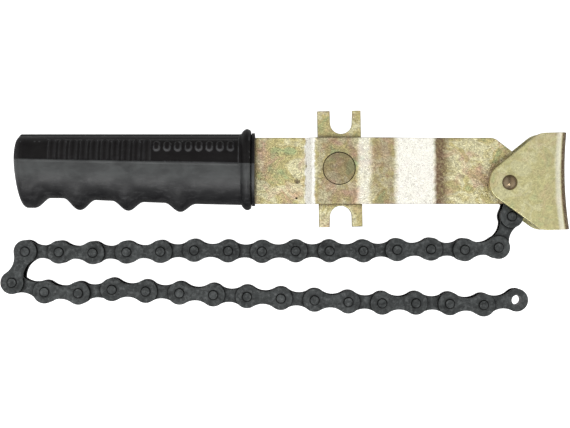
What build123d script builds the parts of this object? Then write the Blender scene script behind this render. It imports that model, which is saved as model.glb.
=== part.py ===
"""Chain-type oil filter wrench.

A cranked flat bar carries a moulded grip at one end and, at the other, a swivelling U-shaped jaw
and the first link of a half-inch roller chain. A fork plate riveted under the bar catches one of
the chain's rollers once the chain has been wrapped round a filter. The chain is modelled at rest,
laid out beside the handle and folded back on itself.

Millimetres. The origin is the middle of the jaw's concave face, half-way through the chain.
+X points out of the jaw, away from the grip. +Z is the direction of every chain pin.
"""

import os
from math import asin, cos, degrees, radians, sin, tan

from build123d import *

# ---- driving dimensions: chain -------------------------------------------------------------
PITCH = 12.7
LINK_COUNT = 32
HEAD_R = 4.35
WAIST_HALF = 2.4
INNER_GAP = 3.4
PLATE_T = 1.0
PLATE_PLAY = 0.1
PIN_R = 1.83
PIN_HALF_LENGTH = 4.35
PIN_CHAMFER = 0.3
BUSH_R = 2.5
BUSH_BORE_R = 1.875
ROLLER_R = 3.875
ROLLER_BORE_R = 2.55
ROLLER_WIDTH = 3.2
PLATE_EDGE_R = 0.18

# Direction of each link at rest, in degrees anticlockwise from +X, from the jaw to the free end.
ANCHOR_HEADINGS = [276, 247, 184]
UPPER_RUN_HEADINGS = [179, 181, 182, 180, 180, 181, 179, 179, 182, 181, 181, 179, 179]
FOLD_HEADINGS = [247, 344, 358, 366]
RETURN_RUN_HEADINGS = [357, 357, 357, 357, 357, 357, 357, 358, 360, 359, 358]
END_HEADINGS = [368]

# ---- driving dimensions: jaw ---------------------------------------------------------------
JAW_REACH = 21.25
JAW_TILT = 1.65
JAW_HALF_HEIGHT = 18.2
JAW_HOLLOW = 1.15
JAW_WIDTH = 13.2
JAW_SHEET = 1.8
JAW_FOLD_R = 3.5
JAW_NOSE_R = 7.5
JAW_FLANK_ANGLE = 37.3
JAW_SHOULDER_R = 7.0
JAW_EDGE_R = 0.3
JAW_RELIEF_R = 4.75
JAW_RELIEF_ANGLE = 48.76
JAW_RELIEF_HALF = 4.6
RIVET_R = 2.0
RIVET_PLAY = 0.05
RIVET_HEAD_R = 2.85
RIVET_HEAD_H = 1.45
RIVET_TAIL_R = 2.7
RIVET_TAIL_H = 1.2

# ---- driving dimensions: bar, from the jaw rivet -------------------------------------------
BAR_T = 3.0
BAR_TOP = 17.0
BAR_BOTTOM = -8.0
BAR_NOSE_R = 8.0
BAR_CORNER_ANGLE = 37.5
BAR_CORNER_REACH = 10.55
BAR_CORNER_R = 4.5
BAR_LIFT = 3.0
BAR_SLOPE_ANGLE = 7.2
BAR_SLOPE_FOOT = -25.2
BAR_CREST_R = 86.0
BAR_FOOT_R = 30.0
STEP_TOP = -72.9
STEP_ANGLE = 50.0
STEP_OUTER_R = 1.2
STEP_INNER_R = 1.4
TANG_SHOULDER = -100.0
TANG_END = -177.0
TANG_HALF = 8.0
TANG_CORNER_R = 6.0
PUNCH_MARKS = [(-79.3, 0.6, 1.15), (-79.5, -5.8, 0.45)]
PUNCH_SINK = 0.45
BAR_EDGE_R = 0.4

# ---- driving dimensions: fork plate and its rivet, from the jaw rivet -----------------------
FORK_CENTRE = (-63.1, 5.25)
FORK_WIDTH = 16.4
FORK_HEIGHT = 43.8
FORK_T = 3.0
FORK_TILT = 1.0
NOTCH_X = -62.7
NOTCH_R = 4.1
NOTCH_FLARE = 0.35
UPPER_NOTCH_FLOOR = 18.5
LOWER_NOTCH_FLOOR = -8.7
PRONG_EDGE_R = 0.35
FORK_RIVET_AT = (-63.5, 5.35)
FORK_RIVET_R = 6.2
FORK_SPIGOT_R = 4.0
FORK_RIVET_CHAMFER = 0.35

# ---- driving dimensions: grip, from the jaw rivet -------------------------------------------
GRIP_HALF_T = 11.0
GRIP_ROUND = 8.5
GRIP_TOP = 18.4
GRIP_RIGHT = -95.2
FLANGE_WIDTH = 4.4
FLANGE_TOP = 20.1
FLANGE_BOTTOM = -10.9
FLANGE_HALF_T = 13.4
FLANGE_ROUND = 9.5
FINGER_LINE = [
    (-118.5, -8.8),
    (-122.6, -10.9),
    (-133.5, -8.0),
    (-142.6, -10.4),
    (-151.9, -7.1),
    (-160.4, -9.9),
    (-169.6, -6.6),
    (-178.6, -9.4),
]
GRIP_END_LINE = [(-181.4, -7.6), (-184.9, 0.5), (-185.4, 9.5), (-183.4, 15.6)]
GRIP_CLEARANCE = 0.05

# ---- derived positions ----------------------------------------------------------------------
RIVET_X = -JAW_REACH * cos(radians(JAW_TILT))
RIVET_Y = -JAW_REACH * sin(radians(JAW_TILT))
INNER_PLATE_LOW = INNER_GAP / 2
INNER_PLATE_TOP = INNER_PLATE_LOW + PLATE_T
OUTER_PLATE_LOW = INNER_PLATE_TOP + PLATE_PLAY
BUSH_LENGTH = 2 * INNER_PLATE_TOP
HEADINGS = ANCHOR_HEADINGS + UPPER_RUN_HEADINGS + FOLD_HEADINGS + RETURN_RUN_HEADINGS + END_HEADINGS


def chain_points():
    """Centres of the jaw rivet and of every chain pin, from the jaw to the free end."""
    points = [(RIVET_X, RIVET_Y)]
    for heading in HEADINGS:
        x, y = points[-1]
        turn = radians(heading)
        points.append((x + PITCH * cos(turn), y + PITCH * sin(turn)))
    return points


def from_rivet(shape):
    """Move a shape drawn around the jaw rivet to its place in the part."""
    return Pos(RIVET_X, RIVET_Y, 0) * shape


def cylinder(radius, low, high, x=0.0, y=0.0):
    """An upright cylinder between two heights."""
    return Pos(x, y, low) * extrude(Circle(radius), high - low)


def tube(outer, bore, low, high, x=0.0, y=0.0):
    """An upright tube between two heights."""
    return Pos(x, y, low) * extrude(Circle(outer) - Circle(bore), high - low)


def edges_at_height(shape, z):
    """Every edge that lies flat at one height."""
    return [e for e in shape.edges() if abs(e.center().Z - z) < 1e-4 and e.bounding_box().size.Z < 1e-4]


# ---- chain ----------------------------------------------------------------------------------
def plate_outline():
    """The waisted outline of a link plate, with both heads and no holes, along +X from its first pin."""
    waist_r = (PITCH**2 / 4 + WAIST_HALF**2 - HEAD_R**2) / (2 * (HEAD_R - WAIST_HALF))
    centre_y = WAIST_HALF + waist_r
    share = HEAD_R / (HEAD_R + waist_r)
    touch_x = PITCH / 2 * share
    touch_y = centre_y * share
    middle = Pos(PITCH / 2, 0) * Rectangle(PITCH - 2 * touch_x, 2 * touch_y)
    for side in (1, -1):
        middle -= Pos(PITCH / 2, side * centre_y) * Circle(waist_r)
    return middle + Circle(HEAD_R) + Pos(PITCH, 0) * Circle(HEAD_R)


def link_plate(low, hole_first, hole_second, outward):
    """One link plate, its outer face's edges rounded by the press that stamped it."""
    outline = plate_outline() - Circle(hole_first) - Pos(PITCH, 0) * Circle(hole_second)
    plate = Pos(0, 0, low) * extrude(outline, PLATE_T)
    face_z = low + PLATE_T if outward > 0 else low
    rim = [e for e in edges_at_height(plate, face_z) if not is_hole_edge(e)]
    return fillet(rim, PLATE_EDGE_R)


def is_hole_edge(edge):
    """A full circle is the edge of a hole; the outline's arcs are open."""
    return edge.is_closed


def pin(x):
    """One pin across both outer plates, its ends chamfered by the riveting tool."""
    body = cylinder(PIN_R, -PIN_HALF_LENGTH, PIN_HALF_LENGTH, x)
    ends = edges_at_height(body, PIN_HALF_LENGTH) + edges_at_height(body, -PIN_HALF_LENGTH)
    return chamfer(ends, PIN_CHAMFER)


def plate_pair(low, hole_first, hole_second):
    """The plate above the chain's middle plane and its twin below."""
    upper = link_plate(low, hole_first, hole_second, 1)
    lower = link_plate(-low - PLATE_T, hole_first, hole_second, -1)
    return [upper, lower]


def outer_link():
    """Two outer plates with a pin at each end."""
    return plate_pair(OUTER_PLATE_LOW, PIN_R, PIN_R) + [pin(0), pin(PITCH)]


def anchor_link():
    """The first link: its plates hang on the jaw rivet, so it has a pin at its far end only."""
    return plate_pair(OUTER_PLATE_LOW, RIVET_R + RIVET_PLAY, PIN_R) + [pin(PITCH)]


def inner_link():
    """Two inner plates with a bush pressed in at each end."""
    bushes = [tube(BUSH_R, BUSH_BORE_R, -BUSH_LENGTH / 2, BUSH_LENGTH / 2, x) for x in (0, PITCH)]
    return plate_pair(INNER_PLATE_LOW, BUSH_R, BUSH_R) + bushes


def roller_pair():
    """The two rollers that turn on an inner link's bushes."""
    half = ROLLER_WIDTH / 2
    return [tube(ROLLER_R, ROLLER_BORE_R, -half, half, x) for x in (0, PITCH)]


def chain_nodes():
    """Every link and roller pair, laid along the chain's rest line."""
    points = chain_points()
    outer = Compound(children=outer_link())
    inner = Compound(children=inner_link())
    rollers = Compound(children=roller_pair())
    nodes = {}
    for number, heading in enumerate(HEADINGS, start=1):
        x, y = points[number - 1]
        place = Location((x, y, 0), (0, 0, heading % 360))
        if number == 1:
            nodes["outer_link_01"] = place * Compound(children=anchor_link())
        elif number % 2:
            nodes[f"outer_link_{number:02d}"] = place * outer
        else:
            nodes[f"inner_link_{number:02d}"] = place * inner
            nodes[f"rollers_{number:02d}"] = place * rollers
    return nodes


# ---- jaw ------------------------------------------------------------------------------------
def jaw_outline():
    """Side outline of the jaw about its rivet: round nose, two straight flanks, rounded shoulders."""
    flank = radians(JAW_FLANK_ANGLE)
    touch = (-JAW_NOSE_R * sin(flank), JAW_NOSE_R * cos(flank))
    shoulder = ((JAW_HALF_HEIGHT * cos(flank) - JAW_NOSE_R) / sin(flank), JAW_HALF_HEIGHT)
    far = JAW_REACH + 10
    body = make_face(
        Polyline(
            touch,
            shoulder,
            (far, JAW_HALF_HEIGHT),
            (far, -JAW_HALF_HEIGHT),
            (shoulder[0], -JAW_HALF_HEIGHT),
            (touch[0], -touch[1]),
            close=True,
        )
    )
    corners = [v for v in body.vertices() if abs(v.X - shoulder[0]) < 1e-3]
    return fillet(corners, JAW_SHOULDER_R) + Circle(JAW_NOSE_R)


def jaw_section():
    """U-shaped cross-section of the folded sheet, open towards the grip, in the XZ plane."""
    length = JAW_REACH + JAW_NOSE_R + 6
    outer = Pos(JAW_REACH - length / 2, 0) * RectangleRounded(length, JAW_WIDTH, JAW_FOLD_R)
    inner_width = JAW_WIDTH - 2 * JAW_SHEET
    inner_r = JAW_FOLD_R - JAW_SHEET
    hollow = Pos(JAW_REACH - JAW_SHEET - length / 2, 0) * RectangleRounded(length, inner_width, inner_r)
    rear = Pos(JAW_REACH - length, 0) * Rectangle(2 * JAW_FOLD_R, 2 * JAW_WIDTH)
    return outer - hollow - rear


def jaw():
    """The folded jaw: two cheeks and a web bent hollow to sit against a round filter."""
    hollow_r = (JAW_HALF_HEIGHT**2 + JAW_HOLLOW**2) / (2 * JAW_HOLLOW)
    swing = degrees(asin((JAW_HALF_HEIGHT + 8) / hollow_r))
    axis = Axis((JAW_REACH + hollow_r, 0, 0), (0, 0, 1))
    section = Plane.XZ * jaw_section()
    sheet = revolve(section.rotate(axis, -swing), axis, 2 * swing)
    side = Pos(0, 0, -JAW_WIDTH) * extrude(jaw_outline(), 2 * JAW_WIDTH)
    shell = sheet & side
    shell -= cylinder(RIVET_R + RIVET_PLAY / 5, -JAW_WIDTH, JAW_WIDTH)
    rims = edges_at_height(shell, JAW_WIDTH / 2) + edges_at_height(shell, -JAW_WIDTH / 2)
    shell = fillet([e for e in rims if not e.is_closed and not on_fold(e)], JAW_EDGE_R)
    shell -= chain_relief(1)
    shell -= chain_relief(-1)
    return from_rivet(Rot(0, 0, JAW_TILT) * shell)


def chain_relief(side):
    """The hollow at one end of the web, between the cheeks, that clears the heads on the chain's second pin."""
    turn = radians(side * JAW_RELIEF_ANGLE)
    x = 2 * PITCH * cos(turn)
    y = 2 * PITCH * sin(turn)
    return cylinder(JAW_RELIEF_R, -JAW_RELIEF_HALF, JAW_RELIEF_HALF, x, y)


def on_fold(edge):
    """The line where a cheek runs smoothly into the fold is no edge to round."""
    return edge.center().X > JAW_REACH - JAW_FOLD_R - 1.5 and edge.bounding_box().size.Y > JAW_HALF_HEIGHT


def dome(radius, height, z, direction):
    """A shallow spherical rivet head that stands on a face at height z."""
    sphere_r = (radius**2 + height**2) / (2 * height)
    ball = Pos(0, 0, z + direction * (height - sphere_r)) * Sphere(sphere_r)
    slab = Pos(0, 0, z + direction * height / 2) * Box(4 * radius, 4 * radius, height)
    return ball & slab


def jaw_rivet():
    """The rivet on which both jaw and chain swing."""
    half = JAW_WIDTH / 2
    shank = cylinder(RIVET_R, -half, half)
    head = dome(RIVET_HEAD_R, RIVET_HEAD_H, half, 1)
    tail = dome(RIVET_TAIL_R, RIVET_TAIL_H, -half, -1)
    return from_rivet(shank + head + tail)


# ---- bar ------------------------------------------------------------------------------------
def bar_profile():
    """Side view of the bar as a closed face: flat tang, step over the fork plate, ramp down to the head."""
    slope = radians(BAR_SLOPE_ANGLE)
    crest_x = BAR_SLOPE_FOOT - BAR_LIFT / tan(slope)
    step = radians(STEP_ANGLE)
    foot_x = STEP_TOP - BAR_LIFT / tan(step)
    half = BAR_T / 2
    step_shift = half * tan(step / 2)
    slope_shift = half * tan(slope / 2)
    front = 2 * BAR_NOSE_R
    face = make_face(
        Polyline(
            (TANG_END, half),
            (foot_x - step_shift, half),
            (STEP_TOP - step_shift, BAR_LIFT + half),
            (crest_x + slope_shift, BAR_LIFT + half),
            (BAR_SLOPE_FOOT + slope_shift, half),
            (front, half),
            (front, -half),
            (BAR_SLOPE_FOOT - slope_shift, -half),
            (crest_x - slope_shift, BAR_LIFT - half),
            (STEP_TOP + step_shift, BAR_LIFT - half),
            (foot_x + step_shift, -half),
            (TANG_END, -half),
            close=True,
        )
    )
    bends = [
        (foot_x - step_shift, half, STEP_INNER_R),
        (STEP_TOP - step_shift, BAR_LIFT + half, STEP_OUTER_R),
        (crest_x + slope_shift, BAR_LIFT + half, BAR_CREST_R),
        (BAR_SLOPE_FOOT + slope_shift, half, BAR_FOOT_R),
        (BAR_SLOPE_FOOT - slope_shift, -half, BAR_FOOT_R + BAR_T),
        (crest_x - slope_shift, BAR_LIFT - half, BAR_CREST_R - BAR_T),
        (STEP_TOP + step_shift, BAR_LIFT - half, STEP_INNER_R / 2),
        (foot_x + step_shift, -half, STEP_OUTER_R),
    ]
    for x, z, radius in bends:
        corner = face.vertices().sort_by_distance((x, z, 0))[0]
        face = fillet([corner], radius)
    return face


def bar_outline():
    """Plan view of the bar about the jaw rivet: tang, full-width blade, cut corner and round nose."""
    corner = radians(BAR_CORNER_ANGLE)
    cut_start_x = (BAR_CORNER_REACH - BAR_TOP * cos(corner)) / sin(corner)
    cut_end_y = (BAR_CORNER_REACH - BAR_NOSE_R * sin(corner)) / cos(corner)
    blade = make_face(
        Polyline(
            (TANG_SHOULDER, BAR_TOP),
            (cut_start_x, BAR_TOP),
            (BAR_NOSE_R, cut_end_y),
            (BAR_NOSE_R, 0),
            (0, 0),
            (0, BAR_BOTTOM),
            (TANG_SHOULDER, BAR_BOTTOM),
            close=True,
        )
    )
    cut = [v for v in blade.vertices() if v.Y > cut_end_y - 1e-3 and v.X > cut_start_x - 1e-3]
    blade = fillet(cut, BAR_CORNER_R) + Circle(BAR_NOSE_R)
    middle_y = (BAR_TOP + BAR_BOTTOM) / 2
    tang_length = TANG_SHOULDER - TANG_END + TANG_CORNER_R
    tang_x = TANG_END + tang_length / 2
    tang = Pos(tang_x, middle_y) * RectangleRounded(tang_length, 2 * TANG_HALF, TANG_CORNER_R)
    return blade + tang


def is_upright(face):
    """A face whose normal lies level, such as the cut edge of a plate."""
    return abs(face.normal_at(face.center()).Z) < 0.02


def rim_edges(body):
    """The edges between the bar's cut sides and its broad faces, on the blade only."""
    upright = [face.edges() for face in body.faces() if is_upright(face)]
    broad = [edge for face in body.faces() if not is_upright(face) for edge in face.edges()]
    on_blade = [e for edges in upright for e in edges if e.center().X > TANG_SHOULDER - BAR_EDGE_R]
    return [e for e in on_blade if any(e.is_same(other) for other in broad)]


def bar():
    """The cranked flat bar, pierced for the jaw rivet and for the fork plate's rivet."""
    width = 4 * (BAR_TOP - BAR_BOTTOM)
    strip = extrude(Plane.XZ * bar_profile(), width / 2, both=True)
    plan = Pos(0, 0, -width / 2) * extrude(bar_outline(), width)
    body = strip & plan
    body = fillet(rim_edges(body), BAR_EDGE_R)
    body -= cylinder(RIVET_R + RIVET_PLAY, -BAR_T, BAR_T)
    body -= cylinder(FORK_RIVET_R, -BAR_T, 2 * BAR_T, *FORK_RIVET_AT)
    for x, y, radius in PUNCH_MARKS:
        ball_r = (radius**2 + PUNCH_SINK**2) / (2 * PUNCH_SINK)
        body -= Pos(x, y, BAR_T / 2 + ball_r - PUNCH_SINK) * Sphere(ball_r)
    return from_rivet(body)


# ---- fork plate and its rivet ---------------------------------------------------------------
def notch(floor, direction):
    """A notch with a round floor, opening a little towards its mouth."""
    depth = FORK_HEIGHT / 2
    centre_y = floor + direction * NOTCH_R
    mouth_y = centre_y + direction * depth
    mouth_half = NOTCH_R + NOTCH_FLARE * 2
    flared = make_face(
        Polyline(
            (NOTCH_X - NOTCH_R, centre_y),
            (NOTCH_X - mouth_half, mouth_y),
            (NOTCH_X + mouth_half, mouth_y),
            (NOTCH_X + NOTCH_R, centre_y),
            close=True,
        )
    )
    return flared + Pos(NOTCH_X, centre_y) * Circle(NOTCH_R)


def fork_plate():
    """The flat plate under the bar, with a notch at each end that takes a chain roller."""
    outline = Pos(*FORK_CENTRE) * Rot(0, 0, FORK_TILT) * Rectangle(FORK_WIDTH, FORK_HEIGHT)
    outline -= notch(UPPER_NOTCH_FLOOR, 1)
    outline -= notch(LOWER_NOTCH_FLOOR, -1)
    plate = Pos(0, 0, -FORK_T / 2) * extrude(outline, FORK_T)
    rims = edges_at_height(plate, FORK_T / 2) + edges_at_height(plate, -FORK_T / 2)
    plate = fillet(rims, PRONG_EDGE_R)
    plate -= cylinder(FORK_SPIGOT_R, -FORK_T, FORK_T, *FORK_RIVET_AT)
    return from_rivet(plate)


def fork_rivet():
    """The broad flush rivet that holds the fork plate up against the bar."""
    x, y = FORK_RIVET_AT
    top = BAR_LIFT + BAR_T / 2
    low = BAR_LIFT - BAR_T / 2
    head = cylinder(FORK_RIVET_R, low, top, x, y)
    head = chamfer(edges_at_height(head, top), FORK_RIVET_CHAMFER)
    spigot = cylinder(FORK_SPIGOT_R, -FORK_T / 2, low, x, y)
    return from_rivet(head + spigot)


# ---- grip -----------------------------------------------------------------------------------
def grip_outline():
    """Plan view of the grip: straight back, round end and a finger line with three swellings."""
    under = GRIP_RIGHT, FINGER_LINE[0][1]
    bottom = Line(under, FINGER_LINE[0])
    fingers = Spline(*FINGER_LINE, tangents=[(-1, -0.3), (-1, 0.1)])
    end = Spline(FINGER_LINE[-1], *GRIP_END_LINE, (-180.0, GRIP_TOP), tangents=[(-1, 0.1), (1, 0.1)])
    back = Polyline((-180.0, GRIP_TOP), (GRIP_RIGHT, GRIP_TOP), under)
    return make_face([bottom, fingers, end, back])


def grip():
    """The moulded grip, closed at its end, with a pocket that fits the bar's tang."""
    length = GRIP_RIGHT - GRIP_END_LINE[2][0]
    middle_x = GRIP_RIGHT - length / 2
    height = GRIP_TOP - FLANGE_BOTTOM
    prism = Pos(0, 0, -GRIP_HALF_T) * extrude(grip_outline(), 2 * GRIP_HALF_T)
    section = RectangleRounded(height, 2 * GRIP_HALF_T, GRIP_ROUND)
    tunnel = Pos(middle_x, (GRIP_TOP + FLANGE_BOTTOM) / 2, 0) * extrude(Plane.YZ * section, length, both=True)
    flange_height = FLANGE_TOP - FLANGE_BOTTOM
    ring = extrude(Plane.YZ * RectangleRounded(flange_height, 2 * FLANGE_HALF_T, FLANGE_ROUND), FLANGE_WIDTH)
    ring = Pos(GRIP_RIGHT - FLANGE_WIDTH, (FLANGE_TOP + FLANGE_BOTTOM) / 2, 0) * ring
    return from_rivet((prism & tunnel) + ring - tang_pocket())


def tang_pocket():
    """The space the bar takes up inside the grip."""
    slot_half = BAR_T / 2 + GRIP_CLEARANCE
    outline = offset(bar_outline(), GRIP_CLEARANCE)
    return Pos(0, 0, -slot_half) * extrude(outline, 2 * slot_half)


def main():
    nodes = {
        "bar": bar(),
        "fork_plate": fork_plate(),
        "fork_rivet": fork_rivet(),
        "grip": grip(),
        "jaw": jaw(),
        "jaw_rivet": jaw_rivet(),
    }
    nodes.update(chain_nodes())
    os.makedirs("parts", exist_ok=True)
    for name, shape in nodes.items():
        export_step(shape, f"parts/{name}.step")


main()
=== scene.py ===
"""Looks for the chain-type oil filter wrench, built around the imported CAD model.

The metal parts keep their CAD meshes and get procedural finishes. The moulded grip is rebuilt as
a mesh of its own. Lengths are metres in the CAD model's frame, unless a comment says millimetres.
"""

import math

import bpy
import numpy as np
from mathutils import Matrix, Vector


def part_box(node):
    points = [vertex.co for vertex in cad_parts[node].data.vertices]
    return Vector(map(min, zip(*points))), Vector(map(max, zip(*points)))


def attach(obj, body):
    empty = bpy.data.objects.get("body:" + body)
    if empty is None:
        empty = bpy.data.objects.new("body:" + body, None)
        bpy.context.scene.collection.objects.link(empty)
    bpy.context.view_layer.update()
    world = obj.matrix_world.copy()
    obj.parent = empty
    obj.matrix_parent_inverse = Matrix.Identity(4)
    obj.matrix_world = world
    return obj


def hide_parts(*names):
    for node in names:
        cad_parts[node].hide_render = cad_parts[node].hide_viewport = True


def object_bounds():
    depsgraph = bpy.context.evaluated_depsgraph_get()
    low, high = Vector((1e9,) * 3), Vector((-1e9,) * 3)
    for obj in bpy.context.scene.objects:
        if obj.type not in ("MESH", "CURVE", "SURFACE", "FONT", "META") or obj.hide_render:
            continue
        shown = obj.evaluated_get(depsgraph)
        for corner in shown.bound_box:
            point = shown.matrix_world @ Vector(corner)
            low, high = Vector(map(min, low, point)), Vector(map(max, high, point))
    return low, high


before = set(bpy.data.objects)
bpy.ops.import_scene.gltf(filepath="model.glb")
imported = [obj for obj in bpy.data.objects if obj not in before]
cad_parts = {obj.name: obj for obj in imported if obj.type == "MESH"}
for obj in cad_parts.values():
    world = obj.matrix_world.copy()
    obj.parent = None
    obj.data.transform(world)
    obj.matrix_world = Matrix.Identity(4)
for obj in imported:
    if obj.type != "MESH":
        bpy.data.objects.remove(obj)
cad_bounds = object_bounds()

MM = 0.001

# ---- places taken from the frame ---------------------------------------------------------------
# An outer plate's face lies over an inner plate's by a plate's thickness and a little play.
PLATE_STEP = 1.1 * MM
BAR_LOW, BAR_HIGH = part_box("bar")
GRIP_LOW, GRIP_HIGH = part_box("grip")
RIVET_LOW, RIVET_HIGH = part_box("jaw_rivet")
PIN_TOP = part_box("outer_link_03")[1].z
INNER_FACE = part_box("inner_link_02")[1].z
OUTER_FACE = INNER_FACE + PLATE_STEP
BAR_HALF = -BAR_LOW.z
RIVET_X = (RIVET_LOW.x + RIVET_HIGH.x) / 2
RIVET_Y = (RIVET_LOW.y + RIVET_HIGH.y) / 2


# ---- node helpers ------------------------------------------------------------------------------
# Sockets of the colour version of the mix node, which share their names with its other versions.
MIX_FIRST = 6
MIX_SECOND = 7
MIX_RESULT = 2


class Nodes:
    """Short calls for adding the nodes used here to an emptied node tree."""

    def __init__(self, owner):
        owner.use_nodes = True
        self.tree = owner.node_tree
        self.tree.nodes.clear()
        self.coords = self.tree.nodes.new("ShaderNodeTexCoord")

    def link(self, source, target):
        self.tree.links.new(source, target)

    def feed(self, target, value):
        """Connect a socket, or set a plain value."""
        if isinstance(value, bpy.types.NodeSocket):
            self.link(value, target)
        else:
            target.default_value = value

    def math(self, operation, first, second=0.0):
        node = self.tree.nodes.new("ShaderNodeMath")
        node.operation = operation
        self.feed(node.inputs[0], first)
        self.feed(node.inputs[1], second)
        return node.outputs[0]

    def times(self, first, second):
        return self.math("MULTIPLY", first, second)

    def spread(self, value, low, high, to_low=0.0, to_high=1.0):
        """Clamped linear map of value from low..high to to_low..to_high."""
        node = self.tree.nodes.new("ShaderNodeMapRange")
        node.clamp = True
        node.inputs["From Min"].default_value = low
        node.inputs["From Max"].default_value = high
        node.inputs["To Min"].default_value = to_low
        node.inputs["To Max"].default_value = to_high
        self.feed(node.inputs["Value"], value)
        return node.outputs["Result"]

    def axis(self, vector, index):
        node = self.tree.nodes.new("ShaderNodeSeparateXYZ")
        self.link(vector, node.inputs[0])
        return node.outputs[index]


class Finish(Nodes):
    """Builds one node-based material around a single principled shader."""

    def __init__(self, name):
        self.material = bpy.data.materials.new(name)
        super().__init__(self.material)
        self.output = self.tree.nodes.new("ShaderNodeOutputMaterial")
        self.shader = self.tree.nodes.new("ShaderNodeBsdfPrincipled")
        self.link(self.shader.outputs["BSDF"], self.output.inputs["Surface"])
        self.here = self.coords.outputs["Object"]

    def place(self, scale=(1, 1, 1), offset=(0, 0, 0)):
        """Object coordinates in millimetres, scaled and shifted."""
        node = self.tree.nodes.new("ShaderNodeMapping")
        node.inputs["Scale"].default_value = [s / MM for s in scale]
        node.inputs["Location"].default_value = offset
        self.link(self.here, node.inputs["Vector"])
        return node.outputs["Vector"]

    def noise(self, size_mm, detail=3.0, rough=0.5, stretch=(1, 1, 1), offset=(0, 0, 0), warp=0.0):
        """Noise whose features are about size_mm across."""
        node = self.tree.nodes.new("ShaderNodeTexNoise")
        node.inputs["Scale"].default_value = 1.0 / size_mm
        node.inputs["Detail"].default_value = detail
        node.inputs["Roughness"].default_value = rough
        node.inputs["Distortion"].default_value = warp
        self.link(self.place(stretch, offset), node.inputs["Vector"])
        return node.outputs["Fac"]

    def ramp(self, value, stops, smooth=True):
        """Colour ramp through (position, colour) stops; a colour may be one number."""
        node = self.tree.nodes.new("ShaderNodeValToRGB")
        node.color_ramp.interpolation = "EASE" if smooth else "LINEAR"
        elements = node.color_ramp.elements
        while len(elements) < len(stops):
            elements.new(0.5)
        for element, (position, colour) in zip(elements, stops):
            element.position = position
            element.color = rgba(colour)
        self.feed(node.inputs["Fac"], value)
        return node.outputs["Color"]

    def mix(self, amount, first, second, mode="MIX"):
        """Mix two colours; each is a socket, or plain numbers."""
        node = self.tree.nodes.new("ShaderNodeMix")
        node.data_type = "RGBA"
        node.blend_type = mode
        self.feed(node.inputs["Factor"], amount)
        self.feed(node.inputs[MIX_FIRST], colour_value(first))
        self.feed(node.inputs[MIX_SECOND], colour_value(second))
        return node.outputs[MIX_RESULT]

    def shaded(self, amount, colour, shade):
        """Multiply a colour by a shade, then take that much of the result."""
        return self.mix(amount, colour, self.mix(1.0, colour, shade, "MULTIPLY"))

    def bump(self, height, strength, distance_mm, base=None):
        node = self.tree.nodes.new("ShaderNodeBump")
        node.inputs["Strength"].default_value = strength
        node.inputs["Distance"].default_value = distance_mm * MM
        self.feed(node.inputs["Height"], height)
        if base is not None:
            self.link(base, node.inputs["Normal"])
        return node.outputs["Normal"]

    def attribute(self, name):
        """A number stored on the mesh's points."""
        node = self.tree.nodes.new("ShaderNodeAttribute")
        node.attribute_name = name
        return node.outputs["Fac"]

    def object_random(self):
        return self.tree.nodes.new("ShaderNodeObjectInfo").outputs["Random"]

    def pointiness(self):
        return self.tree.nodes.new("ShaderNodeNewGeometry").outputs["Pointiness"]

    def occlusion(self, reach_mm):
        """1 in the open, falling towards 0 in corners and gaps narrower than reach_mm."""
        node = self.tree.nodes.new("ShaderNodeAmbientOcclusion")
        node.samples = 12
        node.inputs["Distance"].default_value = reach_mm * MM
        return node.outputs["AO"]

    def corner_shade(self, colour, reach_mm, depth, shade_colour):
        """Paint shade into a colour in corners and gaps, where ambient occlusion falls."""
        amount = self.spread(self.occlusion(reach_mm), 0.50, 0.97, depth, 0.0)
        return self.mix(amount, colour, shade_colour)

    def set(self, **values):
        """Feed the shader's inputs, named with underscores for spaces."""
        for name, value in values.items():
            self.feed(self.shader.inputs[name.replace("_", " ")], value)


def colour_value(colour):
    """A socket as it is, or plain numbers as a four-number colour."""
    if isinstance(colour, bpy.types.NodeSocket):
        return colour
    return rgba(colour)


def rgba(colour):
    """A four-number colour from one number, three or four."""
    if isinstance(colour, (int, float)):
        return (colour, colour, colour, 1.0)
    return tuple(colour) + (1.0,) * (4 - len(colour))


# ---- finishes ----------------------------------------------------------------------------------
ZINC_YELLOW = (0.60, 0.53, 0.25)
ZINC_OLIVE = (0.57, 0.55, 0.29)
ZINC_PALE = (0.78, 0.74, 0.47)
ZINC_GREEN = (0.44, 0.50, 0.25)
ZINC_PINK = (0.62, 0.38, 0.29)
# Dark colour of the zinc's veins and of its painted shade.
ZINC_DARK_BROWN = (0.15, 0.095, 0.06)
# Colour of the painted highlights on the zinc.
ZINC_HIGHLIGHT_WHITE = (1.0, 0.99, 0.92)
# Painted shade in the zinc parts' corners and on the bar's cut sides.
ZINC_SHADE = (0.10, 0.075, 0.05)
ZINC_METALLIC = 0.92
# Metallic where a highlight is painted.
HIGHLIGHT_METALLIC = 0.05
PLATE_FACE = (0.056, 0.060, 0.060)
PLATE_WORN = (0.20, 0.21, 0.21)
ROLLER_FACE = (0.060, 0.060, 0.063)
ROLLER_WORN = (0.22, 0.22, 0.22)
# Painted shade in the chain's corners and gaps and on its cut edges.
CHAIN_SHADE = (0.006, 0.006, 0.006)
RUBBER_DEEP = (0.010, 0.010, 0.011)
RUBBER_FACE = (0.021, 0.021, 0.022)
# Painted shade for the grip's upper panel.
RUBBER_PANEL_SHADE = (0.004, 0.003, 0.003)
# Lighter band below the parting line: partly painted highlight, partly dust.
RUBBER_SHEEN_AND_DUST = (0.060, 0.065, 0.064)
# Dust, and painted highlight on the relief's flanks and sharp edges.
RUBBER_DUST_AND_HIGHLIGHT = (0.085, 0.085, 0.088)
# Painted shade in the grip's corners and grooves.
RUBBER_SHADE = (0.003, 0.003, 0.003)
# Name of the mesh attribute that holds where the grip's relief flanks are painted lighter as wear
# and highlight.
HIGHLIGHT_ATTRIBUTE = "wear_and_highlight"
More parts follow.
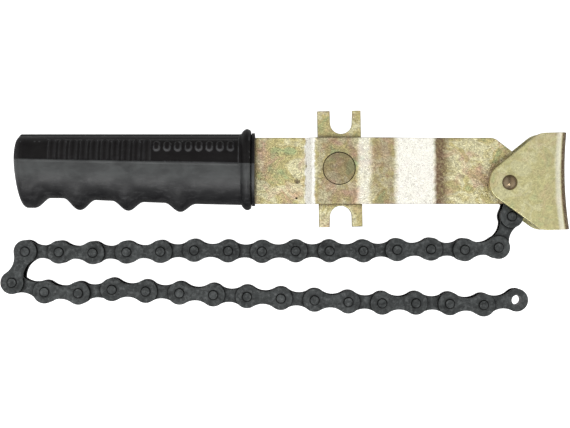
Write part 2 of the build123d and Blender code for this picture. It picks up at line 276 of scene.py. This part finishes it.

# Strength of the painted highlight and of the painted shade and staining along the bar's bends, at
# distances from the jaw rivet, in millimetres.
BEND_FROM = -80.0
BEND_TO = -20.0
# Painted highlight where the step, the crest and the long slope reflect bright surroundings.
BEND_HIGHLIGHT = [
    (-76.4, 0.0),
    (-75.8, 1.0),
    (-73.0, 1.0),
    (-72.3, 0.0),
    (-57.0, 0.0),
    (-55.4, 0.58),
    (-52.8, 0.58),
    (-50.6, 0.0),
    (-43.2, 0.0),
    (-41.0, 0.86),
    (-28.2, 0.86),
    (-26.6, 0.0),
]
# Painted shade where the bends below the plateau and at the foot of the slope reflect dark, and a
# darker staining over the plateau.
BEND_SHADE_AND_STAIN = [
    (-72.3, 0.0),
    (-71.5, 0.40),
    (-57.8, 0.40),
    (-56.5, 0.0),
    (-52.0, 0.0),
    (-49.8, 0.46),
    (-43.5, 0.46),
    (-41.6, 0.0),
    (-27.8, 0.0),
    (-26.6, 1.0),
    (-24.4, 0.95),
    (-21.6, 0.20),
    (-20.2, 0.06),
]
BEND_WANDER = 0.45 * MM

# Painted highlight and painted shade across the jaw's fold, at distances from the jaw rivet, in
# millimetres.
FOLD_FROM = 14.0
FOLD_TO = 23.0
FOLD_HIGHLIGHT = [(16.6, 0.0), (17.6, 0.42), (18.6, 0.42), (19.2, 0.0)]
FOLD_SHADE = [(16.0, 0.06), (18.9, 0.06), (19.5, 1.0), (20.9, 1.0), (21.5, 0.5)]
# In metres, the fold bows by JAW_BOW times the distance across squared, and leans by JAW_LEAN.
JAW_BOW = 3.5
JAW_LEAN = 0.029


def zinc(name, grain=1.0, pink=1.0, dull=0.0, even=0.0, rough_range=(0.30, 0.44), tint=None):
    """Yellow-passivated zinc: pale olive gold, clouded pink and green, with a crystalline grain."""
    f = Finish(name)
    clouds = f.noise(9.0, detail=4, warp=1.2)
    stops = [(0.30, ZINC_GREEN), (0.45, ZINC_YELLOW), (0.58, ZINC_PALE), (0.74, ZINC_YELLOW)]
    hue = f.mix(even, f.ramp(clouds, stops), ZINC_OLIVE)
    blush = f.noise(6.5, detail=5, offset=(31, 7, 3), warp=0.8)
    colour = f.mix(f.spread(blush, 0.50, 0.72, 0, 0.75 * pink), hue, ZINC_PINK)
    speckle = f.noise(0.5, detail=3, rough=0.7)
    flakes = f.noise(1.5, detail=4, rough=0.65, offset=(5, 11, 0), warp=1.5)
    shade = f.math("ADD", f.times(speckle, 0.45), f.times(flakes, 0.55))
    colour = f.shaded(grain, colour, f.spread(shade, 0.36, 0.64, 0.52, 1.30))
    metallic = ZINC_METALLIC
    # Painted highlight and painted shade by place, with the metal made less metallic where the
    # highlight is painted.
    if tint:
        colour, rubbing_and_highlight = tint(f, colour)
        metallic = f.spread(f.math("POWER", rubbing_and_highlight, 4.0), 0.0, 1.0, ZINC_METALLIC, HIGHLIGHT_METALLIC)
    colour = f.mix(veins(f, 0.50 * grain), colour, ZINC_DARK_BROWN)
    colour = f.mix(dull, colour, ZINC_DARK_BROWN)
    # Painted shade in corners and gaps.
    colour = f.corner_shade(colour, 1.2, 0.9, ZINC_SHADE)
    rough = f.spread(flakes, 0.3, 0.7, *rough_range)
    normal = f.bump(flakes, grain, 0.24)
    normal = f.bump(f.noise(3.5, detail=3), 0.15 * grain, 0.15, normal)
    f.set(Base_Color=colour, Metallic=metallic, Roughness=rough, Normal=normal)
    return f.material


def veins(f, strength):
    """Thin wandering lines between the zinc's crystals, where a noise crosses its middle value."""
    noise = f.noise(1.7, detail=3, offset=(2, 9, 4), warp=2.0)
    off = f.math("ABSOLUTE", f.math("SUBTRACT", noise, 0.5))
    return f.spread(off, 0.0, 0.040, strength, 0.0)


def tinted(f, colour, place, low, high, bright_stops, shade_and_stain_stops):
    """Paint a highlight into a colour, and paint it darker, by place: painted shade, on the bar
    partly staining.

    The place is in metres; its limits and the stops are in millimetres. Returns the colour and how
    strongly the highlight is painted.
    """
    zone = f.spread(place, low * MM, high * MM)
    layers = []
    for stops in (shade_and_stain_stops, bright_stops):
        steps = [((at - low) / (high - low), strength) for at, strength in stops]
        layers.append(f.ramp(zone, [(0.0, 0.0)] + steps, smooth=False))
    shade_and_stain, bright = layers
    mottle = f.noise(0.9, detail=4, rough=0.7, offset=(4, 4, 1))
    shade_and_stain = f.times(shade_and_stain, f.spread(mottle, 0.38, 0.62, 0.62, 1.12))
    # Painted shade, on the bar partly staining; then the painted highlight.
    colour = f.mix(shade_and_stain, colour, ZINC_DARK_BROWN)
    return f.mix(bright, colour, ZINC_HIGHLIGHT_WHITE), bright


def bend_tint(f, colour):
    """The bar: painted highlight where it slopes, painted shade and some staining along each bend,
    and painted shade on its cut sides.
    """
    height = f.math("ABSOLUTE", f.axis(f.here, 2))
    # Painted shade: the cut sides darken into a dark outline along the bar's edges.
    sides = f.spread(height, BAR_HALF - 0.32 * MM, BAR_HALF - 0.06 * MM, 0.65, 0.0)
    colour = f.mix(sides, colour, ZINC_SHADE)
    wander = f.spread(f.noise(2.4, detail=4), 0.3, 0.7, -BEND_WANDER, BEND_WANDER)
    from_rivet = f.math("SUBTRACT", f.math("ADD", f.axis(f.here, 0), wander), RIVET_X)
    return tinted(f, colour, from_rivet, BEND_FROM, BEND_TO, BEND_HIGHLIGHT, BEND_SHADE_AND_STAIN)


def fold_tint(f, colour):
    """The jaw: a painted highlight where the fold into its web starts, and painted shade where the
    fold turns down.
    """
    across = f.math("SUBTRACT", f.axis(f.here, 1), RIVET_Y)
    bow = f.times(f.math("POWER", f.math("ABSOLUTE", across), 2.0), JAW_BOW)
    straight = f.math("SUBTRACT", f.axis(f.here, 0), f.math("ADD", bow, RIVET_X))
    from_rivet = f.math("ADD", straight, f.times(across, JAW_LEAN))
    return tinted(f, colour, from_rivet, FOLD_FROM, FOLD_TO, FOLD_HIGHLIGHT, FOLD_SHADE)


def cut_edges(f):
    """1 on the cut and riveted edges of the link plates and pins, 0 on their flat outer faces."""
    height = f.math("ABSOLUTE", f.axis(f.here, 2))
    faces = f.spread(height, PIN_TOP - 0.07 * MM, PIN_TOP - 0.02 * MM)
    for level in (OUTER_FACE, INNER_FACE):
        off = f.math("ABSOLUTE", f.math("SUBTRACT", height, level))
        faces = f.math("MAXIMUM", faces, f.spread(off, 0.03 * MM, 0.10 * MM, 1.0, 0.0))
    return f.math("SUBTRACT", 1.0, faces)


def chain_steel(name, face, wear_and_highlight, rough_range, shade_edges):
    """Dark heat-coloured chain steel: mottled, a little oily and lighter in patches from rubbing,
    with painted shade in its gaps and on the plates' cut edges.
    """
    f = Finish(name)
    tone = f.math("ADD", f.noise(2.6, detail=5, warp=0.6), f.times(f.object_random(), 0.10))
    dark = tuple(c * 0.62 for c in face)
    light = tuple(c * 1.5 for c in face)
    colour = f.ramp(tone, [(0.34, dark), (0.56, face), (0.74, light)])
    speckle = f.noise(0.35, detail=4, rough=0.75)
    colour = f.shaded(0.5, colour, f.spread(speckle, 0.35, 0.65, 0.7, 1.25))
    rubbing_and_highlight = f.noise(1.3, detail=5, rough=0.7, offset=(8, 2, 5))
    colour = f.mix(f.spread(rubbing_and_highlight, 0.50, 0.72, 0.0, 0.55), colour, wear_and_highlight)
    # Painted shade: the cut edges of the plates and pins darken into dark outlines.
    if shade_edges:
        colour = f.mix(f.times(cut_edges(f), 0.85), colour, CHAIN_SHADE)
    # Painted shade in corners and gaps.
    colour = f.corner_shade(colour, 1.6, 1.0, CHAIN_SHADE)
    rough = f.spread(f.noise(1.2, detail=4, offset=(3, 1, 8)), 0.3, 0.7, *rough_range)
    normal = f.bump(speckle, 0.22, 0.03)
    normal = f.bump(f.noise(4.0, detail=2), 0.12, 0.12, normal)
    f.set(Base_Color=colour, Metallic=0.9, Roughness=rough, Normal=normal)
    return f.material


def rubber(name):
    """Black moulded rubber: satin, finely pored and a little dusty, with painted shade on its upper
    panel and in its corners, and painted highlight, partly dust and rubbing, below the parting line
    and on its high edges.
    """
    f = Finish(name)
    cloud = f.noise(7.0, detail=5, warp=0.7)
    scuff = f.noise(1.6, detail=5, rough=0.7, stretch=(0.35, 1, 1), offset=(9, 4, 2))
    over = over_part_line(f)
    panel = f.spread(over, -0.15 * MM, 0.15 * MM)
    colour = f.ramp(cloud, [(0.35, RUBBER_DEEP), (0.65, RUBBER_FACE)])
    colour = f.mix(f.times(f.spread(scuff, 0.50, 0.74), 0.42), colour, RUBBER_DUST_AND_HIGHLIGHT)
    # Painted shade: the upper panel, which tilts away from the light, is darkened.
    colour = f.mix(f.times(panel, 0.85), colour, RUBBER_PANEL_SHADE)
    # A lighter band below the parting line: partly painted highlight where the rounded section
    # faces the light, partly dust.
    sheen_and_dust = f.times(f.spread(over, -8.5 * MM, -5.0 * MM), f.math("SUBTRACT", 1.0, panel))
    sheen_and_dust = f.times(sheen_and_dust, f.spread(cloud, 0.3, 0.7, 0.25, 0.75))
    colour = f.mix(sheen_and_dust, colour, RUBBER_SHEEN_AND_DUST)
    # Sharp edges and relief flanks painted lighter: partly rubbing, partly painted highlight.
    colour = f.mix(edge_wear_and_highlight(f, scuff), colour, RUBBER_DUST_AND_HIGHLIGHT)
    # Painted shade in corners and grooves.
    colour = f.corner_shade(colour, 1.2, 0.5, RUBBER_SHADE)
    normal = f.bump(f.noise(0.30, detail=3, rough=0.7), 0.45, 0.040)
    normal = f.bump(f.noise(2.4, detail=4), 0.28, 0.16, normal)
    rough = f.spread(scuff, 0.3, 0.7, 0.36, 0.52)
    gloss = f.spread(over, -13.0 * MM, -5.0 * MM, 0.16, 0.52)
    gloss = f.math("SUBTRACT", gloss, f.times(panel, 0.38))
    f.set(Base_Color=colour, Roughness=rough, Normal=normal, Specular_IOR_Level=gloss)
    return f.material


def edge_wear_and_highlight(f, scuff):
    """Where the rubber is painted lighter: its sharp edges, partly from rubbing and partly painted
    highlight, and the flanks of the moulded ribs and pads, painted highlight the most under the
    pads.
    """
    sharp = f.times(f.spread(f.pointiness(), 0.52, 0.62), 0.45)
    flanks = f.times(f.attribute(HIGHLIGHT_ATTRIBUTE), f.spread(scuff, 0.3, 0.6, 0.35, 1.0))
    return f.math("MAXIMUM", sharp, flanks)


def over_part_line(f):
    """Height above the grip's parting line, over which the moulding is smoother and its colour is
    painted darker as shade.
    """
    slope = (PART_LINE[1] - PART_LINE[0]) / PART_LINE_RUN
    along = f.times(f.math("SUBTRACT", f.axis(f.here, 0), GRIP_END), slope)
    level = f.math("ADD", f.axis(f.here, 1), along)
    return f.math("SUBTRACT", level, GRIP_BACK - PART_LINE[0] * MM)


def assign(obj, material):
    """Give an object one material in place of those it has."""
    obj.data.materials.clear()
    obj.data.materials.append(material)


def finish_metal():
    """Give every CAD node that stays in view its finish."""
    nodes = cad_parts
    jaw_looks = {"grain": 0.45, "pink": 0.4, "dull": 0.02, "even": 0.6, "tint": fold_tint}
    rivet_looks = {"grain": 0.3, "pink": 0.2, "dull": 0.88, "rough_range": (0.16, 0.24)}
    assign(nodes["bar"], zinc("bar_zinc", tint=bend_tint))
    assign(nodes["fork_plate"], zinc("fork_zinc", pink=0.6, dull=0.10))
    assign(nodes["fork_rivet"], zinc("fork_rivet_zinc", pink=1.2, dull=0.58))
    assign(nodes["jaw"], zinc("jaw_zinc", **jaw_looks))
    assign(nodes["jaw_rivet"], zinc("jaw_rivet_zinc", **rivet_looks))
    plate = chain_steel("chain_plate_steel", PLATE_FACE, PLATE_WORN, (0.27, 0.40), True)
    roller = chain_steel("chain_roller_steel", ROLLER_FACE, ROLLER_WORN, (0.24, 0.34), False)
    for name, obj in nodes.items():
        if name.startswith(("outer_link", "inner_link")):
            assign(obj, plate)
        elif name.startswith("rollers"):
            assign(obj, roller)


# ---- grip --------------------------------------------------------------------------------------
FLANGE_PROUD = 1.7
GRIP_END = GRIP_LOW.x
GRIP_MOUTH = GRIP_HIGH.x
GRIP_BACK = GRIP_HIGH.y - FLANGE_PROUD * MM

# From here to the stage, lengths are millimetres, save in the vertices of the mesh. e is measured
# along the grip from its closed end, and down is measured from its back.
HALF_THICK = 11.0
HALF_HEIGHT = 13.4
SECTION_POWER = 2.5
AROUND = 300
END_STATIONS = 46
BODY_STATIONS = 274
FLANGE_STATIONS = 60
FIRST_STATION = 0.02

NOSE_DOWN = 9.3
BACK_ROUND = 2.9
FRONT_ROUND = 5.4
END_ROUND = 5.0
RIDGES = ((24.5, 4.1), (42.8, 3.5), (62.5, 3.2))
RIDGE_REACH = 6.2
VALLEYS = ((17.0, -24.2), (33.7, -25.1), (51.3, -25.8), (67.5, -26.4), (90.0, -26.9))
HEEL_DEPTH = -27.9
HEEL_END = 7.4
HEEL_FADE = 13.2

FLANGE_START = 85.4
BEAD_TOP = 87.9
BEAD_END = 89.3
BEAD_RISE = 0.7
BEAD_HALF = 1.6
BEAD_PROUD = 1.9
BEAD_CROWN = 0.9
LIP_START = 89.6
LIP_RISE = 0.15
LIP_PROUD = 0.35
NECK_SINK = 0.25
MOUTH_DEPTH = 4.0
MOUTH_GAP = 0.05


def smooth_step(low, high, value):
    """0 below low, 1 above high, with a smooth rise between."""
    t = np.clip((value - low) / (high - low), 0.0, 1.0)
    return t * t * (3 - 2 * t)


def back_line(e):
    """Upper outline at e, measured from the back's straight line."""
    t = np.clip(e / BACK_ROUND, 0, 1)
    return -NOSE_DOWN * (1 - t) ** 2.6


def finger_line(e):
    """Lower outline at e, measured from the back's straight line."""
    valley = np.interp(e, [v[0] for v in VALLEYS], [v[1] for v in VALLEYS])
    ridge = np.zeros_like(e)
    for at, height in RIDGES:
        near = np.minimum(np.abs(e - at) / RIDGE_REACH, 1.0)
        ridge += height * (0.5 + 0.5 * np.cos(math.pi * near)) ** 1.15
    heel = smooth_step(HEEL_END, HEEL_FADE, e)
    line = HEEL_DEPTH * (1 - heel) + (valley - ridge) * heel
    rounding = (1 - np.clip(e / FRONT_ROUND, 0, 1)) ** 2.4
    return line * (1 - rounding) - NOSE_DOWN * rounding


def end_rounding(e):
    """Share of the full thickness at e, near the rounded end."""
    t = np.clip(e / END_ROUND, 0, 1)
    return np.sqrt(np.clip(1 - (1 - t) ** 2, 0, 1))


def flange_swell(e):
    """How far the bead and the lip stand out from the body, with the narrow neck between them."""
    crown = BEAD_PROUD - BEAD_CROWN * (np.abs(e - BEAD_TOP) / BEAD_HALF) ** 2
    rise = smooth_step(FLANGE_START, FLANGE_START + BEAD_RISE, e)
    fall = 1 - smooth_step(BEAD_END - 0.1, BEAD_END + 0.3, e)
    bead = rise * fall * np.clip(crown, -0.5, BEAD_PROUD)
    lip = smooth_step(LIP_START, LIP_START + LIP_RISE, e)
    neck = smooth_step(BEAD_END, BEAD_END + 0.2, e) * (1 - lip)
    return bead + LIP_PROUD * lip - NECK_SINK * neck


# The parting line runs straight between these depths, over this length.
PART_LINE = (9.7, 11.5)
PART_LINE_RUN = 90.0
PANEL_SINK = 0.75
LEDGE_DOWN = 0.35
LEDGE_HALF = 0.30
LEDGE_RISE = 0.12
GROOVE_FROM = 13.6
GROOVE_DOWN = 1.1
GROOVE_HALF = 0.55
GROOVE_DEPTH = 0.55
RIB_FIRST = 15.7
RIB_PITCH = 3.915
RIB_COUNT = 10
RIB_HALF = 1.42
RIB_TOP = 1.9
RIB_RISE = 0.62
DISH_DEPTH = 0.26
PAD_FIRST = RIB_FIRST + RIB_COUNT * RIB_PITCH - 0.35
PAD_COUNT = 8
PAD_HALF = (1.35, 2.05)
PAD_DOWN = 4.7
PAD_RISE = 0.85
DETAIL_END = FLANGE_START - 0.4
# The relief fades out between these distances from the mould's middle plane.
RELIEF_FADE = (0.5, 2.5)
# The relief flanks are painted lighter only beyond this distance from the mould's middle plane.
WEAR_AND_HIGHLIGHT_FROM = 2.0


def part_line(e):
    """The moulding's parting line: how far it lies below the back."""
    return PART_LINE[0] + (PART_LINE[1] - PART_LINE[0]) * e / PART_LINE_RUN


def rib_field(e, down, inner, outer):
    """1 within inner of the middle line of an upright round-topped rib, 0 beyond outer."""
    shape = np.zeros_like(e)
    arch = RIB_TOP + RIB_HALF
    for k in range(RIB_COUNT):
        across = np.abs(e - RIB_FIRST - k * RIB_PITCH)
        dist = np.where(down < arch, np.hypot(across, arch - down), across)
        shape = np.maximum(shape, 1 - smooth_step(inner, outer, dist))
    return shape


def pad_shape(e, down):
    """Raised oval pads, 0 to 1."""
    shape = np.zeros_like(e)
    straight = PAD_HALF[1] - PAD_HALF[0]
    for k in range(PAD_COUNT):
        across = e - PAD_FIRST - k * RIB_PITCH
        along = np.maximum(np.abs(down - PAD_DOWN) - straight, 0)
        dist = np.hypot(across, along)
        shape = np.maximum(shape, 1 - smooth_step(PAD_HALF[0] - 0.55, PAD_HALF[0] + 0.1, dist))
    return shape


def relief(e, down):
    """Height of the moulded surface over the plain section."""
    part = part_line(e)
    body = smooth_step(1.2, 2.4, e) * (1 - smooth_step(DETAIL_END - 0.3, DETAIL_END, e))
    panel = (1 - smooth_step(part - 0.30, part, down)) * body
    ledge = LEDGE_RISE * np.exp(-(((down - part - LEDGE_DOWN) / LEDGE_HALF) ** 2))
    ribs = RIB_RISE * rib_field(e, down, RIB_HALF - 0.28, RIB_HALF + 0.12)
    dishes = DISH_DEPTH * rib_field(e, down, 0.45, 1.0)
    groove = GROOVE_DEPTH * np.exp(-(((down - GROOVE_DOWN) / GROOVE_HALF) ** 2))
    groove = groove * smooth_step(GROOVE_FROM - 0.25, GROOVE_FROM + 0.1, e)
    shapes = ribs - dishes + PAD_RISE * pad_shape(e, down) - groove - PANEL_SINK
    return shapes * panel + ledge * body


def relief_slope(e, down):
    """How steep the moulded relief is, 0 to 1: its flanks are painted lighter, partly as rubbing
    and partly as highlight.
    """
    step = 0.15
    rise = relief(e, down + step) - relief(e, down - step)
    run = relief(e + step, down) - relief(e - step, down)
    steep = np.clip(np.hypot(rise, run) / (2 * step) - 0.25, 0.0, 1.0)
    # Painted highlight: the flanks below the pads, which face the light, are painted lighter than
    # the rest.
    under_pads = (e > PAD_FIRST - 2.0) & (down > PAD_DOWN)
    return steep * np.where(under_pads, 1.0, 0.35)


def stations():
    """Places along the grip where its section is drawn, closer together at its end and flange."""
    length = (GRIP_MOUTH - GRIP_END) / MM
    swell_start = FLANGE_START - 0.25
    end = FIRST_STATION + FRONT_ROUND * (1 - np.cos(np.linspace(0, math.pi / 2, END_STATIONS)))
    body = np.linspace(FIRST_STATION + FRONT_ROUND, swell_start, BODY_STATIONS)[1:]
    flange = np.linspace(swell_start, length, FLANGE_STATIONS + 1)[1:]
    return np.concatenate([end, body, flange])


def unit_section(angle):
    """The section's rounded-rectangle outline at an angle, as height and thickness from -1 to 1."""
    power = 2 / SECTION_POWER
    c, s = np.cos(angle), np.sin(angle)
    return np.sign(c) * np.abs(c) ** power, np.sign(s) * np.abs(s) ** power


def section_angles():
    """Section angles spaced so that the points lie evenly round an average section."""
    angle = np.linspace(0, 2 * math.pi, 4001)
    y, z = unit_section(angle)
    steps = np.hypot(np.diff(HALF_HEIGHT * y), np.diff(HALF_THICK * z))
    walked = np.concatenate([[0], np.cumsum(steps)])
    return np.interp(np.linspace(0, walked[-1], AROUND, endpoint=False), walked, angle)


def grip_surface(e):
    """Vertex grid of the grip, one loop of points at each station, and how much each point is
    painted lighter as wear and highlight.
    """
    top = back_line(e)
    bottom = finger_line(e)
    swell = flange_swell(e)
    middle = (top + bottom) / 2
    half = (top - bottom) / 2 + swell
    thick = HALF_THICK * end_rounding(e) + swell
    unit_y, unit_z = unit_section(section_angles())
    x = np.repeat(e[:, None], AROUND, axis=1)
    y = middle[:, None] + half[:, None] * unit_y[None, :]
    z = thick[:, None] * unit_z[None, :]
    points = np.stack([x, y, z], axis=-1)
    height = relief(x, -y) * smooth_step(*RELIEF_FADE, np.abs(z))
    wear_and_highlight = relief_slope(x, -y) * (np.abs(z) > WEAR_AND_HIGHLIGHT_FROM)
    return points + outward(points) * height[..., None], wear_and_highlight


def outward(points):
    """Unit normals of the vertex grid; the first stations face straight out of the closed end."""
    along = np.gradient(points, axis=0)
    around = np.roll(points, -1, axis=1) - np.roll(points, 1, axis=1)
    normal = np.cross(around, along)
    normal /= np.linalg.norm(normal, axis=-1, keepdims=True) + 1e-9
    normal[:3] = (-1, 0, 0)
    return normal


def ring_faces(first, second):
    """Faces between two loops of the section, given where each starts in the list of vertices."""
    turns = [(j, (j + 1) % AROUND) for j in range(AROUND)]
    return [(first + j, first + k, second + k, second + j) for j, k in turns]


def build_grip():
    """The moulded grip as one closed mesh, whose mouth runs in to a slot for the bar."""
    e = stations()
    points, wear_and_highlight = grip_surface(e)
    origin = Vector((GRIP_END, GRIP_BACK, 0))
    verts = [origin + Vector(p) * MM for p in points.reshape(-1, 3)]
    faces = []
    for row in range(len(e) - 1):
        faces += ring_faces(row * AROUND, (row + 1) * AROUND)
    tip = len(verts)
    verts.append(origin + Vector((0, -NOSE_DOWN * MM, 0)))
    faces += [(tip, (j + 1) % AROUND, j) for j in range(AROUND)]
    add_mouth(verts, faces, (len(e) - 1) * AROUND)
    mesh = bpy.data.meshes.new("grip_moulding")
    mesh.from_pydata([tuple(v) for v in verts], [], faces)
    mesh.update()
    values = np.zeros(len(verts))
    values[: wear_and_highlight.size] = wear_and_highlight.ravel()
    mesh.attributes.new(HIGHLIGHT_ATTRIBUTE, "FLOAT", "POINT").data.foreach_set("value", values)
    mesh.polygons.foreach_set("use_smooth", [True] * len(mesh.polygons))
    obj = bpy.data.objects.new("grip_moulding", mesh)
    bpy.context.scene.collection.objects.link(obj)
    return obj


def onto_slot(point, x):
    """The point of the bar's slot, at x, that lies nearest to a point of the mouth's rim."""
    low = Vector((x, BAR_LOW.y - MOUTH_GAP * MM, -BAR_HALF - MOUTH_GAP * MM))
    high = Vector((x, BAR_HIGH.y + MOUTH_GAP * MM, BAR_HALF + MOUTH_GAP * MM))
    if low.y < point.y < high.y:
        return Vector((x, point.y, high.z if point.z > 0 else low.z))
    y = high.y if point.y > 0 else low.y
    return Vector((x, y, min(max(point.z, low.z), high.z)))


def add_mouth(verts, faces, rim):
    """Close the grip's mouth with a face that runs in to the bar's slot, and floor the slot."""
    bottom_x = GRIP_MOUTH - MOUTH_DEPTH * MM
    outer = [verts[rim + j] for j in range(AROUND)]
    last = rim
    for x in (GRIP_MOUTH, bottom_x):
        start = len(verts)
        verts.extend(onto_slot(v, x) for v in outer)
        faces += ring_faces(last, start)
        last = start
    floor = len(verts)
    verts.append(Vector((bottom_x, (BAR_LOW.y + BAR_HIGH.y) / 2, 0)))
    faces += [(floor, last + j, last + (j + 1) % AROUND) for j in range(AROUND)]


# ---- stage -------------------------------------------------------------------------------------
FLOOR_GAP = 0.4 * MM
FLOOR_HALF = 2.0
FLOOR_GREY = 0.55
KEY_DIRECTION = (0.10, 0.48, -0.87)
KEY_STRENGTH = 0.8
KEY_ANGLE = 14
CAMERA_HEIGHT = 0.435
CAMERA_SHIFT = (0.1 * MM, -0.27 * MM)
SENSOR = 36.0


def build_floor():
    """A floor just under the lowest piece: pure white to the camera, mid grey in reflections."""
    z = cad_bounds[0].z - FLOOR_GAP
    outline = ((-1, -1), (1, -1), (1, 1), (-1, 1))
    corners = [(x * FLOOR_HALF, y * FLOOR_HALF, z) for x, y in outline]
    mesh = bpy.data.meshes.new("floor")
    mesh.from_pydata(corners, [], [(0, 1, 2, 3)])
    floor = bpy.data.objects.new("floor", mesh)
    bpy.context.scene.collection.objects.link(floor)
    f = Finish("floor_white")
    seen = f.tree.nodes.new("ShaderNodeLightPath").outputs["Is Camera Ray"]
    f.set(Base_Color=rgba(FLOOR_GREY), Roughness=0.9)
    f.set(Emission_Color=rgba(1.0), Emission_Strength=seen)
    assign(floor, f.material)


def build_world():
    """Studio surroundings: brighter nearby and to left and right, dim at the horizon."""
    world = bpy.data.worlds.new("studio")
    bpy.context.scene.world = world
    w = Nodes(world)
    direction = w.coords.outputs["Generated"]
    near = w.spread(w.axis(direction, 1), -0.6, 0.6, 0.86, 0.60)
    strips = w.spread(w.math("ABSOLUTE", w.axis(direction, 0)), 0.22, 0.36, 1.0, 2.1)
    horizon = w.spread(w.axis(direction, 2), 0.0, 0.45, 0.15, 1.0)
    background = w.tree.nodes.new("ShaderNodeBackground")
    w.feed(background.inputs["Strength"], w.times(w.times(near, strips), horizon))
    output = w.tree.nodes.new("ShaderNodeOutputWorld")
    w.link(background.outputs[0], output.inputs[0])


def key_light(direction, strength, angle):
    """A broad sun whose light travels along direction."""
    light = bpy.data.lights.new("key_light", "SUN")
    light.energy = strength
    light.angle = math.radians(angle)
    obj = bpy.data.objects.new("key_light", light)
    obj.rotation_euler = Vector(direction).to_track_quat("-Z", "Y").to_euler()
    bpy.context.scene.collection.objects.link(obj)


def build_stage():
    """Floor, surroundings, key light and a camera straight above, fitted to the part's length."""
    low, high = cad_bounds
    centre = (low + high) / 2
    build_floor()
    build_world()
    key_light(KEY_DIRECTION, KEY_STRENGTH, KEY_ANGLE)
    camera_data = bpy.data.cameras.new("camera")
    camera_data.sensor_width = SENSOR
    camera_data.lens = SENSOR * (CAMERA_HEIGHT - PIN_TOP) / (high.x - low.x)
    camera = bpy.data.objects.new("camera", camera_data)
    camera.location = (centre.x + CAMERA_SHIFT[0], centre.y + CAMERA_SHIFT[1], CAMERA_HEIGHT)
    bpy.context.scene.collection.objects.link(camera)
    bpy.context.scene.camera = camera
    bpy.context.scene.view_settings.view_transform = "Standard"


finish_metal()
grip = build_grip()
assign(grip, rubber("grip_rubber_black"))
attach(grip, "handle")
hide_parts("grip")
build_stage()
